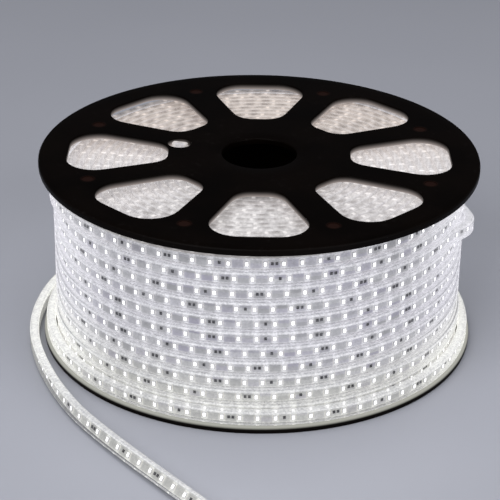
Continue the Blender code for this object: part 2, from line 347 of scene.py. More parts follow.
def cell_noise(finish, along, seed):
    """A number in 0..1 for each gap between two lights, another one in each row."""
    _, _, z = finish.parts(finish.place())
    cell = finish.node("ShaderNodeCombineXYZ", values={
        0: along.math("FLOOR"), 1: (z / ROW_PITCH).math("FLOOR"), 2: seed})
    return finish.node("ShaderNodeTexWhiteNoise", {"noise_dimensions": "3D"}, {"Vector": cell})


def broad_light(finish):
    """Two shares of extra light: towards the reel's two flanks, and towards the floor."""
    x, y, z = finish.parts(finish.place())
    return (abs(x) / (x * x + y * y) ** 0.5).rise(0.62, 0.98), z.rise(0.062, 0.012)


def scaled(finish, colour, level):
    """A colour times a number."""
    return finish.node("ShaderNodeVectorMath", {"operation": "SCALE"},
                       {0: colour, "Scale": level})


def clear_sleeve():
    """Clear PVC round the strip: see-through in the middle, milkier at its edges.

    Across the strip, edge runs from 0 in the middle to 1/2 on the narrow sides. A thin
    broken painted highlight, brighter than the rest, stands at edge 0.39, where the wall
    turns round the corner, and painted shade at 0.48, in the groove between two rows,
    darkest on the lower half of the reel's flanks. Each light shows again as a fainter
    spot near the lower edge, a painted reflection, with darker dashes between the spots.
    Towards the floor the strip is warmer, and where it stands on the floor a painted
    contact shadow darkens it. The sleeve's emission, a little brighter near the lights,
    is painted glow.
    """
    finish = Finish("outer_sleeve", (0.66, 0.66, 0.69), Roughness=0.20, IOR=1.45,
                    Specular_IOR_Level=0.35, Coat_Weight=0.10, Coat_Roughness=0.08)
    along, across = uv_parts(finish)
    side, low = broad_light(finish)
    light = near_light(along)
    edge = abs(across - 0.5)
    _, _, z = finish.parts(finish.place())
    # Painted contact shadow where the strip stands on the floor: darker base, less emission.
    foot = z.rise(0.0030, 0.0014)
    haze = finish.noise(150.0, 2.0)
    speck = finish.noise(620.0, 2.0).rise(0.34, 0.66)
    milky = edge.rise(0.27, 0.40)
    broken = finish.noise(210.0, 2.0).rise(0.38, 0.62)
    # Painted highlight: a broken bright line where the sleeve's wall turns round the corner.
    line = edge.rise(0.335, 0.390) * edge.rise(0.450, 0.395) * broken
    # Painted shade in the groove between two rows, on the sleeve's narrow sides.
    crease_shade = edge.rise(0.435, 0.475) * edge.rise(0.4995, 0.485)
    # More painted shade in that groove on the lower half of the reel's flanks.
    flank_crease_shade = crease_shade * side * z.rise(0.105, 0.065) * z.rise(0.016, 0.022)
    crease_shade = crease_shade * (1.0 - broken * 0.75)
    # Painted reflection: each light shows again as a fainter spot near the lower edge.
    light_reflection = light.rise(0.13, 0.05) * across.rise(0.010, 0.045) * across.rise(0.130, 0.085)
    dash = light.rise(0.20, 0.30) * across.rise(0.02, 0.05) * across.rise(0.13, 0.09)
    tone = finish.mix(haze, (0.50, 0.50, 0.53), (0.66, 0.66, 0.68))
    dark = (crease_shade * 0.35).larger(dash * broken * 0.30).larger(flank_crease_shade * 0.9)
    darker = finish.mix(dark, tone, (0.26, 0.26, 0.29))
    finish.set(Base_Color=finish.mix(foot * 0.8, darker, (0.12, 0.12, 0.14)))
    finish.set(Alpha=(0.05 + speck * 0.07 + milky * 0.62 + light_reflection * 0.2 + side * 0.24 + foot * 0.5)
               .smaller(0.92))
    # Painted glow: the sleeve's emission, with the highlight, the reflections and extra light at
    # the flanks, less in the painted shade and the contact shadow.
    level = (0.12 + line * 0.11 + light_reflection * 0.30 + light.rise(0.26, 0.05) * 0.06 + speck * 0.19
             - low * 0.02 + side * 0.17 + side * low * 0.06 - crease_shade * 0.04) * (1.0 - foot * 0.85)
    level = level * (1.0 - flank_crease_shade * 0.55)
    cool = finish.mix(finish.noise(9.0, 1.0), (0.98, 0.98, 0.98), (0.93, 0.90, 1.0))
    tint = finish.mix(low, cool, (1.0, 1.0, 0.90))
    finish.set(Emission_Color=scaled(finish, tint, level), Emission_Strength=1.0)
    finish.set(Roughness=0.16 + haze * 0.14)
    finish.bump(finish.noise(90.0, 2.0), 0.18, 0.0012)
    return finish.material


def end_sleeve():
    """Clear PVC of the wound layers, seen on their narrow sides through the windows.

    reach counts the layers outwards, so its fraction is 0 or 1 where two sleeves meet; there
    painted shade darkens the groove between them, less on the reel's flanks. Each light
    shows as a brighter spot and the gap between two as a darker dash, both broken up by
    noise, and towards the reel's back the tone is warmer. The emission is painted glow.
    """
    finish = Finish("layer_sleeve", (0.74, 0.72, 0.73), Roughness=0.22, IOR=1.45)
    along, _ = uv_parts(finish)
    light = near_light(along)
    x, y, _ = finish.parts(finish.place())
    side, _ = broad_light(finish)
    reach = ((x * x + y * y) ** 0.5 - WINDING_BORE) / LAYER_PITCH
    aside = abs(reach.math("FRACT") - 0.5)
    # Painted shade in the groove where two layers' sleeves meet, less on the reel's flanks.
    crease_shade = aside.rise(0.38, 0.49) * (1.0 - side * 0.7)
    mottle = finish.noise(330.0, 2.0)
    clouds = finish.noise(60.0, 2.0)
    back = y.rise(-0.02, 0.10)
    spot = light.rise(0.16, 0.05) * aside.rise(0.34, 0.16) * clouds.rise(0.35, 0.60)
    dash = light.rise(0.15, 0.36) * aside.rise(0.46, 0.14) * clouds.rise(0.60, 0.44)
    dash = dash * (1.0 - side * 0.75)
    tone = finish.mix(mottle.rise(0.30, 0.70), (0.38, 0.362, 0.365), (0.60, 0.58, 0.58))
    warm = finish.mix(back * 0.8, tone, (0.50, 0.445, 0.405))
    dash = dash * mottle.rise(0.22, 0.52)
    dark = (crease_shade * 0.20).larger(dash * 0.66)
    finish.set(Base_Color=finish.mix(dark, warm, (0.20, 0.175, 0.165)))
    finish.set(Alpha=0.52 + clouds * 0.20)
    # Painted glow: the layers' emission, brighter at each light's spot and on the flanks.
    level = (0.13 + mottle * 0.22 + spot * 0.46 + side * 0.07 - crease_shade * 0.03 - dash * 0.14
             - back * 0.03)
    cool = finish.mix(finish.noise(14.0, 1.0), (1.0, 0.93, 0.93), (0.97, 0.97, 0.94))
    tint = finish.mix(back, cool, (1.0, 0.87, 0.79))
    finish.set(Emission_Color=scaled(finish, tint, level), Emission_Strength=1.0)
    finish.set(Roughness=0.18 + mottle * 0.14)
    finish.bump(mottle, 0.25, 0.0008)
    return finish.material


def board():
    """White board: a grey pad with soft edges fills the gap between two lights.

    Each pad has its own depth of grey and its own tint, a faint copper spot stands on both
    sides of each light, and towards the floor the board is a little yellower. The board's
    emission, its own colour, brighter near the lights, on the flanks and towards the
    floor, is painted glow.
    """
    finish = Finish("circuit_board", (0.50, 0.50, 0.53), Roughness=0.45)
    along, across = uv_parts(finish)
    light = near_light(along)
    edge = abs(across - 0.5)
    side, low = broad_light(finish)
    grain = finish.noise(520.0, 2.0)
    depth = cell_noise(finish, along, 3.0)
    tint = cell_noise(finish, along, 8.0)
    pad = light.rise(0.115, 0.235) * edge.rise(0.37, 0.22)
    pad = pad * (1.0 - side * 0.40) * (1.0 - low * 0.25)
    core = light.rise(0.26, 0.44) * edge.rise(0.20, 0.03)
    copper = light.rise(0.12, 0.14) * light.rise(0.19, 0.17) * edge.rise(0.22, 0.18)
    grey = finish.mix(tint.rise(0.45, 0.95), (0.215, 0.215, 0.225), (0.215, 0.205, 0.262))
    darker = finish.mix(core * 0.30, grey, (0.15, 0.15, 0.16))
    white = finish.mix(grain.rise(0.30, 0.70), (0.39, 0.39, 0.41), (0.52, 0.52, 0.54))
    padded = finish.mix(pad * (0.42 + depth * 0.50), white, darker)
    upper = finish.mix(copper * 0.25, padded, (0.40, 0.36, 0.30))
    lower = finish.mix(copper * 0.25, padded, (0.40, 0.37, 0.28))
    yellower = finish.node("ShaderNodeVectorMath", {"operation": "MULTIPLY"},
                           {0: lower, 1: (1.0, 1.0, 0.90)})
    colour = finish.mix(low * 0.8, upper, yellower)
    finish.set(Base_Color=colour)
    # Painted glow: the board emits its own colour, more near the lights and on the flanks.
    level = 0.50 + light.rise(0.34, 0.06) * 0.26 + low * 0.06 + side * 0.26
    finish.set(Emission_Color=scaled(finish, colour, level), Emission_Strength=1.0)
    return finish.material


def glowing(name, colour, strength):
    """A light's window, bright enough to burn out to white."""
    finish = Finish(name, colour, Roughness=0.4, Emission_Strength=strength)
    finish.set(Emission_Color=finish.mix(finish.noise(300.0, 1.0), colour, WHITE))
    finish.material.cycles.emission_sampling = "NONE"
    return finish.material


def flecked(name, dark, light, roughness, scale, metallic=0.0):
    """Two close tones of one colour, clouded by noise."""
    finish = Finish(name, dark, Roughness=roughness, Metallic=metallic)
    cloud = finish.noise(scale, 3.0)
    finish.set(Base_Color=finish.mix(cloud, dark, light))
    finish.set(Roughness=roughness - 0.06 + cloud * 0.12)
    finish.bump(cloud, 0.15, 0.0002)
    return finish.material


def wound_core():
    """Strip deep in the winding, seen through the clear sleeves: pale, with soft streaks, and lit
    by painted glow in its own colour.
    """
    finish = Finish("wound_core", (0.55, 0.55, 0.57), Roughness=0.5)
    x, y, z = finish.parts(finish.place())
    turn = y.math("ARCTAN2", x)
    stretched = finish.node("ShaderNodeCombineXYZ", values={0: turn * 14.0, 1: z * 260.0})
    streak = finish.noise(2.0, 2.0, stretched)
    colour = finish.mix(streak, (0.34, 0.34, 0.36), (0.56, 0.56, 0.58))
    # Painted glow: the core emits its own colour.
    finish.set(Base_Color=colour, Emission_Color=colour, Emission_Strength=0.30)
    return finish.material


# ---------- meshes ----------

def add_mesh(name, vertices, faces, materials, uv=None, face_materials=None):
    """A mesh object from arrays: faces is an array of quads or a list of polygons."""
    mesh = bpy.data.meshes.new(name)
    mesh.from_pydata(np.asarray(vertices, float).tolist(), [], [list(face) for face in faces])
    for material in materials:
        mesh.materials.append(material)
    if uv is not None:
        layer = mesh.uv_layers.new(name=STRIP_UV)
        layer.data.foreach_set("uv", np.asarray(uv, np.float32).ravel())
    if face_materials is not None:
        mesh.polygons.foreach_set("material_index", np.asarray(face_materials, np.int32))
    mesh.shade_smooth()
    mesh.set_sharp_from_angle(angle=math.radians(35))
    mesh.update()
    thing = bpy.data.objects.new(name, mesh)
    bpy.context.scene.collection.objects.link(thing)
    return thing


def dress(piece, slot, *nodes):
    """Say what a piece rides on and hide the CAD nodes it stands for. slot is not used."""
    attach(piece, "root")
    if nodes:
        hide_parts(*nodes)
    return piece


def rounded_section(thickness, width, corner, steps):
    """Closed outline (outwards, up) of a rectangle whose corners are quarter circles."""
    outline = []
    for side_out, side_up, start in ((1, 1, 0), (-1, 1, 90), (-1, -1, 180), (1, -1, 270)):
        angles = np.radians(start + 90 * np.arange(steps + 1) / steps)
        middle = np.array([side_out * (thickness / 2 - corner), side_up * (width / 2 - corner)])
        outline.append(middle + corner * np.stack([np.cos(angles), np.sin(angles)], -1))
    return np.concatenate(outline)


def box_section(thickness, width, depth=0.0):
    """Outline of a flat bar whose middle stands out by depth."""
    out = np.array([1, -1, -1, 1]) * thickness / 2 + depth
    up = np.array([1, 1, -1, -1]) * width / 2
    return np.stack([out, up], -1)


class Run:
    """A line of points that carries a strip, with the outward direction at each point.

    along holds the distance from the first point, in light pitches, plus a phase. lean
    turns the strip about its line at each point, so that its outer face looks upwards.
    """

    def __init__(self, points, closed, phase=0.0, lean=None):
        self.points = points
        self.closed = closed
        ahead = np.roll(points, -1, 0) - np.roll(points, 1, 0)
        if not closed:
            ahead[0] = points[1] - points[0]
            ahead[-1] = points[-1] - points[-2]
        self.ahead = ahead / np.linalg.norm(ahead, axis=1, keepdims=True)
        flat = self.ahead * [1, 1, 0]
        flat /= np.linalg.norm(flat, axis=1, keepdims=True)
        self.out = np.stack([flat[:, 1], -flat[:, 0], np.zeros(len(flat))], -1)
        self.up = np.cross(self.out, self.ahead)
        if lean is not None:
            cos, sin = np.cos(lean)[:, None], np.sin(lean)[:, None]
            self.out, self.up = self.out * cos + self.up * sin, self.up * cos - self.out * sin
        self.distance = reach_along(np.concatenate([points, points[:1]]))
        self.length = self.distance[-1] if closed else self.distance[-2]
        self.lights = max(1, int(round(self.length / LIGHT_PITCH)))
        self.pitch = self.length / self.lights
        self.phase = phase

    def carry(self, section):
        """Vertices and quads of the section carried along the line, as one closed skin.

        Vertex (i, j) = point i + out_i * section_j outwards + up_i * section_j up.
        Open ends are closed by one polygon each.
        """
        count, sides = len(self.points), len(section)
        vertices = (self.points[:, None] + self.out[:, None] * section[None, :, :1]
                    + self.up[:, None] * section[None, :, 1:])
        rows = np.arange(count if self.closed else count - 1)
        ring = np.arange(sides)
        row, side = (grid.ravel() for grid in np.meshgrid(rows, ring, indexing="ij"))
        row_after, side_after = (row + 1) % count, (side + 1) % sides
        quads = np.stack([row * sides + side, row_after * sides + side,
                          row_after * sides + side_after, row * sides + side_after], -1)
        along = self.distance / self.pitch + self.phase
        spread = section[:, 1] / STRIP_WIDTH + 0.5
        uv = np.stack([
            np.stack([along[row], along[row + 1], along[row + 1], along[row]], -1),
            np.stack([spread[side], spread[side], spread[side_after], spread[side_after]], -1),
        ], -1)
        faces, uv = quads.tolist(), uv.reshape(-1, 2).tolist()
        if not self.closed:
            for first, order in ((0, ring), ((count - 1) * sides, ring[::-1])):
                faces.append((first + order).tolist())
                uv += [[along[first // sides], spread[index]] for index in order]
        return vertices.reshape(-1, 3), faces, uv

    def at(self, places):
        """Points and directions at distances given in light pitches from the start."""
        sources, reach = (self.points, self.ahead, self.out, self.up), self.distance[:-1]
        if self.closed:
            sources = [np.concatenate([source, source[:1]]) for source in sources]
            reach = self.distance
        return [points_at(np.asarray(places) * self.pitch, reach, source) for source in sources]

    def light_places(self):
        """Distances of the lights, in pitches: those where along is a whole number."""
        first = math.ceil(self.phase) - self.phase
        last = self.lights if self.closed else self.length / self.pitch - 0.5
        return np.arange(first if self.closed else max(first, 0.5), last, 1.0)


def joined(parts):
    """Several (vertices, faces, uv) skins as one."""
    vertices, faces, uv, first = [], [], [], 0
    for some, more_faces, more_uv in parts:
        vertices.append(some)
        faces += [[corner + first for corner in face] for face in more_faces]
        uv += list(more_uv)
        first += len(some)
    return np.concatenate(vertices), faces, uv


def stud(length, height, low, high, chamfer, crown=0.0):
    """Small block on the strip: (ahead, out, up) corners, faces, and which face is its window.

    Its foot is a rectangle at depth low; its top is smaller by the chamfer, at depth high,
    with an inset window whose middle stands crown higher.
    """
    def ring(half_ahead, half_up, out):
        return [(half_ahead, out, half_up), (-half_ahead, out, half_up),
                (-half_ahead, out, -half_up), (half_ahead, out, -half_up)]
    half_ahead, half_up = length / 2, height / 2
    inset = chamfer * 2
    corners = (ring(half_ahead, half_up, low) + ring(half_ahead, half_up, high - chamfer)
               + ring(half_ahead - chamfer, half_up - chamfer, high)
               + ring(half_ahead - inset, half_up - inset, high) + [(0.0, high + crown, 0.0)])
    faces, window = [[3, 2, 1, 0]], [0]
    for level in range(3):
        for side in range(4):
            a, b = level * 4 + side, level * 4 + (side + 1) % 4
            faces.append([a, b, b + 4, a + 4])
            window.append(0)
    for side in range(4):
        faces.append([12 + side, 12 + (side + 1) % 4, 16])
        window.append(1)
    return np.array(corners), faces, np.array(window)


def studded(runs, places, shape, offset=0.0):
    """Copies of one small block on each run, at the given places, moved ahead by offset."""
    corners, faces, window = shape
    vertices, all_faces, first = [], [], 0
    for run, where in zip(runs, places):
        point, ahead, out, up = run.at(where)
        here = (point[:, None] + ahead[:, None] * (corners[None, :, :1] + offset)
                + out[:, None] * corners[None, :, 1:2] + up[:, None] * corners[None, :, 2:])
        vertices.append(here.reshape(-1, 3))
        for copy in range(len(where)):
            start = first + copy * len(corners)
            all_faces += [[start + corner for corner in face] for face in faces]
        first += len(where) * len(corners)
    return np.concatenate(vertices), all_faces, np.tile(window, first // len(corners))


# ---------- the spool ----------

def window_outline(steps):
    """Rounded trapezoid round the +X axis, counter-clockwise, as an array of points."""
    inner, outer = WINDOW_INNER_WIDTH / 2, WINDOW_OUTER_WIDTH / 2
    corners = np.array([[WINDOW_INNER_REACH, -inner], [WINDOW_OUTER_REACH, -outer],
                        [WINDOW_OUTER_REACH, outer], [WINDOW_INNER_REACH, inner]])
    radii = [WINDOW_INNER_FILLET, WINDOW_OUTER_FILLET, WINDOW_OUTER_FILLET, WINDOW_INNER_FILLET]
    points = []
    for index, (corner, radius) in enumerate(zip(corners, radii)):
        before = corners[index - 1] - corner
        after = corners[(index + 1) % 4] - corner
        before, after = before / np.linalg.norm(before), after / np.linalg.norm(after)
        half = math.acos(np.clip(before @ after, -1, 1)) / 2
        middle = (before + after) / np.linalg.norm(before + after)
        centre = corner + middle * radius / math.sin(half)
        start = corner + before * radius / math.tan(half) - centre
        angles = (math.pi - 2 * half) * np.arange(steps + 1) / steps
        turned = np.stack([start[0] * np.cos(angles) - start[1] * np.sin(angles),
                           start[0] * np.sin(angles) + start[1] * np.cos(angles)], -1)
        points.append(centre + turned)
    return np.concatenate(points)


def edge_profile():
    """Half of a rounded edge: (distance into the plate, depth below its face) pairs."""
    angles = np.radians(90 * np.arange(EDGE_STEPS + 1) / EDGE_STEPS)
    return [(EDGE_ROUNDING * (1 - math.sin(angle)), EDGE_ROUNDING * (1 - math.cos(angle)))
            for angle in angles]


def resample(outline, count):
    """Points at even spacing round a closed outline."""
    closed = np.concatenate([outline, outline[:1]])
    reach = reach_along(closed)
    return points_at(reach[-1] * np.arange(count) / count, reach, closed)


def plate_sector(around):
    """One eighth of the flange plate: the skin between a window and the sector's border.

    Border points are joined to the window's outline by spokes from the window's middle.
    Returns border points, window points and the spokes' directions at the window, all in
    the same order round it.
    """
    low, high = SECTOR_INNER, SECTOR_OUTER
    half = math.pi / WINDOW_COUNT
    inner_turns = np.linspace(half, -half, ARC_STEPS + 1)
    outer_turns = np.linspace(-half, half, ARC_STEPS + 1)
    sides = np.linspace(low, high, SIDE_STEPS + 1)
    border = np.concatenate([
        np.stack([low * np.cos(inner_turns), low * np.sin(inner_turns)], -1)[:-1],
        np.stack([sides * math.cos(half), -sides * math.sin(half)], -1)[:-1],
        np.stack([high * np.cos(outer_turns), high * np.sin(outer_turns)], -1)[:-1],
        np.stack([sides[::-1] * math.cos(half), sides[::-1] * math.sin(half)], -1)[:-1]])
    window = window_outline(12)
    middle = np.array([WINDOW_MIDDLE, 0.0])
    fine = resample(window, 1440)
    spokes = np.arctan2(*(fine - middle).T[::-1])
    order = np.argsort(spokes)
    turns = np.arctan2(*(border - middle).T[::-1])
    hit = np.stack([np.interp(turns, spokes[order], fine[order][:, axis], period=2 * math.pi)
                    for axis in range(2)], -1)
    cos, sin = math.cos(around), math.sin(around)
    turn = np.array([[cos, sin], [-sin, cos]])
    outwards = hit - middle
    outwards /= np.linalg.norm(outwards, axis=1, keepdims=True)
    return border @ turn, hit @ turn, outwards @ turn


def turned(profile, turns):
    """Grid of points: a profile of (radius, height) pairs at each angle round the axis."""
    profile = np.array(profile)
    return np.stack([profile[:, :1] * np.cos(turns), profile[:, :1] * np.sin(turns),
                     np.repeat(profile[:, 1:], len(turns), 1)], -1)


def flange_skin():
    """The whole bottom flange as loose grids: eight sectors, the bore ring and the rim.

    Sector: for each border point a profile runs over the outer face (z = 0) to the window,
    round its edge, up the wall, round the other edge and back over the inner face.
    Rings: a profile in radius and height is carried round the axis through the same border
    angles, so that the grids meet point to point and merging their doubles closes the skin.
    """
    vertices, faces, first = [], [], 0
    edge = edge_profile()
    shares = [1.0, 0.75, 0.5, 0.25, 0.08]
    for index in range(WINDOW_COUNT):
        border, hit, outwards = plate_sector(2 * math.pi * index / WINDOW_COUNT)
        face_points = hit + outwards * EDGE_ROUNDING
        rows = [(border * share + face_points * (1 - share), 0.0) for share in shares]
        rows += [(hit + outwards * inset, depth) for inset, depth in edge]
        rows += [(spot, FLANGE_THICKNESS - height) for spot, height in reversed(rows)]
        grid = np.array([np.concatenate([spot, np.full((len(spot), 1), height)], -1)
                         for spot, height in rows])
        vertices.append(grid.reshape(-1, 3))
        faces.append(first + grid_quads(len(rows), len(border)))
        first += grid[..., 0].size
    arcs = WINDOW_COUNT * ARC_STEPS
    turns = np.arange(arcs) * 2 * math.pi / arcs + math.pi / WINDOW_COUNT
    collar_inside, collar_end = COLLAR_RADIUS - COLLAR_WALL, FLANGE_THICKNESS + COLLAR_DEPTH
    bore_edge = [(BORE_RADIUS + inset, depth) for inset, depth in edge]
    bore = [(SECTOR_INNER, 0.0), (BORE_RING, 0.0)] + bore_edge
    bore += [(radius, FLANGE_THICKNESS - height) for radius, height in reversed(bore_edge)]
    bore += [(collar_inside, FLANGE_THICKNESS), (collar_inside, collar_end),
             (COLLAR_RADIUS, collar_end), (COLLAR_RADIUS, FLANGE_THICKNESS),
             (SECTOR_INNER, FLANGE_THICKNESS)]
    rim = [(SECTOR_OUTER, 0.0)] + [(FLANGE_RADIUS - inset, depth) for inset, depth in edge]
    rim += [(radius, FLANGE_THICKNESS - height) for radius, height in reversed(rim)]
    for profile in (bore, rim):
        grid = turned(profile, turns)
        vertices.append(grid.reshape(-1, 3))
        faces.append(first + grid_quads(len(profile), len(turns)))
        first += grid[..., 0].size
    return np.concatenate(vertices), np.concatenate(faces)


def grid_quads(rows, columns, close_rows=False):
    """Quads of a grid stored row by row, each row a ring; its rows close up if asked."""
    row, column = (grid.ravel() for grid in np.meshgrid(
        np.arange(rows if close_rows else rows - 1), np.arange(columns), indexing="ij"))
    row_after, column_after = (row + 1) % rows, (column + 1) % columns
    return np.stack([row * columns + column, row * columns + column_after,
                     row_after * columns + column_after, row_after * columns + column], -1)


def disc_cutter(name, discs):
    """Upright cylinders, each (centre x, centre y, radius, low, high), as one cutting mesh."""
    vertices, faces, first, sides = [], [], 0, 48
    turns = 2 * math.pi * np.arange(sides) / sides
    for x, y, radius, low, high in discs:
        vertices.append(turned([(radius, low), (radius, high)], turns).reshape(-1, 3) + [x, y, 0])
        second, after = first + sides, first + 2 * sides
        faces += (first + grid_quads(2, sides)).tolist()
        faces += [list(range(second - 1, first - 1, -1)), list(range(second, after))]
        first = after
    return add_mesh(name, np.concatenate(vertices), faces, [])


def make_flange(name, node, finish, is_top):
    """A flange. The top one is the same skin turned over, with its hole and marks cut in."""
    vertices, faces = flange_skin()
    if is_top:
        vertices = vertices * [1, 1, -1] + [0, 0, REEL_HEIGHT]
    flange = add_mesh(name, vertices, faces, [finish])
    shape = bmesh.new()
    shape.from_mesh(flange.data)
    bmesh.ops.remove_doubles(shape, verts=shape.verts, dist=0.000004)
    bmesh.ops.recalc_face_normals(shape, faces=shape.faces)
    shape.to_mesh(flange.data)
    shape.free()
    if is_top:
        past = 0.004
        cuts = [(END_HOLE_ANGLE, END_HOLE_REACH, END_HOLE_RADIUS, FLANGE_THICKNESS + past)]
        cuts += [(2 * math.pi * (index + 0.5) / WINDOW_COUNT, MARK_REACH, MARK_RADIUS, MARK_DEPTH)
                 for index in range(WINDOW_COUNT)]
        discs = [(reach * math.cos(turn), reach * math.sin(turn), radius,
                  REEL_HEIGHT - depth, REEL_HEIGHT + past) for turn, reach, radius, depth in cuts]
        cutter = disc_cutter("hole_and_mark_cutter", discs)
        boolean = flange.modifiers.new("Holes", "BOOLEAN")
        boolean.operation = "DIFFERENCE"
        boolean.solver = "EXACT"
        boolean.object = cutter
        evaluated = flange.evaluated_get(bpy.context.evaluated_depsgraph_get())
        cut_mesh = bpy.data.meshes.new_from_object(evaluated)
        flange.modifiers.clear()
        flange.data = cut_mesh
        bpy.data.objects.remove(cutter, do_unlink=True)
    flange.data.shade_smooth()
    flange.data.set_sharp_from_angle(angle=math.radians(28))
    return dress(flange, "black_plastic", node)


# ---------- the winding ----------

def stray_rise(row, angle):
    """How far a row stands off its circle: half a cosine wave over each of its strays."""
    rise = np.zeros_like(angle)
    for stray_row, middle, half, height in STRAYS:
        if stray_row == row:
            aside = (angle - math.radians(middle) + math.pi) % (2 * math.pi) - math.pi
            share = np.clip(aside / math.radians(half), -1, 1)
            rise += height * (1 + np.cos(math.pi * share)) / 2
    return rise


def ring_run(radius, height, steps, phase, row=None, wobble=0.0, tilt=0.0, ride=0.0):
    """A turn of strip: a circle whose radius wanders a little and that strays with its row.

    The radius falls by the size of wobble * (sin(3 angle) + 0.6 sin(7 angle)) / 1.6, with
    both waves shifted by the phase. Height = height + tilt * cos(angle) + ride * smooth
    step of sin(angle) from 0.4 to 0.9.
    """
    angle = 2 * math.pi * np.arange(steps) / steps
    back = smooth_step((np.sin(angle) - 0.4) / 0.5)
    height = height + tilt * np.cos(angle) + ride * back
    wander = wobble * (np.sin(3 * angle + 7 * phase) + 0.6 * np.sin(7 * angle + 11 * phase)) / 1.6
    reach = radius - np.abs(wander) + stray_rise(row, angle)
    points = np.stack([reach * np.cos(angle), reach * np.sin(angle), height], -1)
    return Run(points, True, phase)


def outer_rows():
    """The eleven turns of the outermost layer, from the bottom up."""
    rows = []
    for index in range(ROW_COUNT):
        height = WINDING_BASE + (index + 0.5) * ROW_PITCH + ROW_LIFT
        rows.append(ring_run(WINDING_RADIUS - STRIP_THICKNESS / 2, height, 240,
                             RANDOM.uniform(0, 1), row=index, wobble=0.00018,
                             tilt=ROW_TILTS[index], ride=TOP_RIDE * (index == ROW_COUNT - 1)))
    return rows


def end_turns():
    """The turns of every layer but the outermost at the winding's two ends."""
    turns = []
    for height in (WINDING_TOP - ROW_PITCH / 2, WINDING_BASE + ROW_PITCH / 2):
        for layer in range(LAYER_COUNT - 1):
            radius = WINDING_BORE + (layer + 0.5) * LAYER_PITCH
            phase = RANDOM.uniform(0, 1)
            drop = RANDOM.uniform(0.0, 0.0004)
            if height > 0.05:
                turns.append(ring_run(radius, height + ROW_LIFT - drop, 120, phase, wobble=0.0001,
                                      tilt=ROW_TILTS[-1] * radius / WINDING_RADIUS, ride=TOP_RIDE))
            else:
                turns.append(ring_run(radius, height + drop, 120, phase, wobble=0.0001))
    return turns


SLEEVE_SECTION = rounded_section(STRIP_THICKNESS - 0.00004, STRIP_WIDTH, SLEEVE_CORNER, 4)
BOARD_SECTION = box_section(BOARD_THICKNESS, BOARD_WIDTH, BOARD_DEPTH)
LIGHT_STUD = stud(length=0.0029, height=0.0037, low=BOARD_DEPTH, high=BOARD_DEPTH + 0.0013,
                  chamfer=0.00025, crown=0.00012)
RESISTOR_STUD = stud(length=0.0019, height=0.0021, low=BOARD_DEPTH,
                     high=BOARD_DEPTH + 0.0008, chamfer=0.0001)


def component_places(run, shift):
    """Gaps with two resistors and gaps with one: every sixth each, three gaps apart."""
    lights = run.light_places()
    gaps = lights[:-1] + 0.5
    count = np.arange(len(gaps)) + shift
    return gaps[count % GAPS_PER_UNIT == 0], gaps[count % GAPS_PER_UNIT == 3]


def show_ends(sleeve, finish):
    """Give a wound sleeve's narrow sides at the winding's two ends the layers' finish."""
    polygons = sleeve.data.polygons
    spots, normals = np.zeros(len(polygons) * 3), np.zeros(len(polygons) * 3)
    polygons.foreach_get("center", spots)
    polygons.foreach_get("normal", normals)
    height = spots[2::3]
    at_ends = (height > WINDING_TOP - 0.0040) | (height < WINDING_BASE + 0.0012)
    sleeve.data.materials.append(finish)
    polygons.foreach_set("material_index", ((abs(normals[2::3]) > 0.6) & at_ends).astype(np.int32))


def dress_strip(name, runs, finishes, sleeve_nodes):
    """Sleeve, board, lights and resistors on a set of runs, one mesh of each kind."""
    def piece(kind, vertices, faces, materials, nodes=(), **more):
        thing = add_mesh(name + "_" + kind, vertices, faces, materials, **more)
        return dress(thing, "led_strip", *nodes)

    pieces = {}
    vertices, faces, uv = joined([run.carry(SLEEVE_SECTION) for run in runs])
    pieces["sleeve"] = piece("sleeve", vertices, faces, [finishes["sleeve"]], sleeve_nodes, uv=uv)
    if "end_sleeve" in finishes:
        show_ends(pieces["sleeve"], finishes["end_sleeve"])
    vertices, faces, uv = joined([run.carry(BOARD_SECTION) for run in runs])
    pieces["board"] = piece("board", vertices, faces, [finishes["board"]], uv=uv)
    lights = [run.light_places() for run in runs]
    vertices, faces, window = studded(runs, lights, LIGHT_STUD)
    pieces["lights"] = piece("lights", vertices, faces,
                             [finishes["light_frame"], finishes["light"]], face_materials=window)
    doubles, singles = zip(*[component_places(run, int(RANDOM.integers(0, GAPS_PER_UNIT)))
                             for run in runs])
    parts = [studded(runs, places, RESISTOR_STUD, offset) for places, offset in (
        (doubles, -RESISTOR_ASIDE), (doubles, RESISTOR_ASIDE), (singles, 0.0))]
    vertices, faces, _ = joined(parts)
    pieces["resistors"] = piece("resistors", vertices, faces, [finishes["resistor"]])
    return pieces


def make_core(finish):
    """Closed ring inside the outer rows and under the layers' ends: a box profile, turned."""
    under_ends, inside_rows, off_barrel, steps = 0.0110, 0.0006, 0.0002, 180
    low, high = WINDING_BASE + under_ends, WINDING_TOP - under_ends
    inner, outer = WINDING_BORE + off_barrel, WINDING_RADIUS - STRIP_THICKNESS - inside_rows
    grid = turned([(inner, high), (outer, high), (outer, low), (inner, low)],
                  2 * math.pi * np.arange(steps) / steps)
    quads = grid_quads(4, steps, close_rows=True)[:, ::-1]
    dress(add_mesh("winding_core", grid.reshape(-1, 3), quads, [finish]), "led_strip")


# ---------- the two ends of the strip ----------

def smooth_route(stops, count):
    """Points at even spacing along a Catmull-Rom curve through the stops."""
    stops = np.asarray(stops)
    ends = np.concatenate([[stops[0] * 2 - stops[1]], stops, [stops[-1] * 2 - stops[-2]]])
    t = (np.arange(20) / 20)[:, None]
    fine = [0.5 * (2 * b + (c - a) * t + (2 * a - 5 * b + 4 * c - d) * t ** 2
                   + (3 * b - a - 3 * c + d) * t ** 3)
            for a, b, c, d in zip(ends, ends[1:], ends[2:], ends[3:])]
    fine = np.concatenate(fine + [stops[-1:]])
    reach = reach_along(fine)
    return points_at(reach[-1] * np.arange(count) / (count - 1), reach, fine)


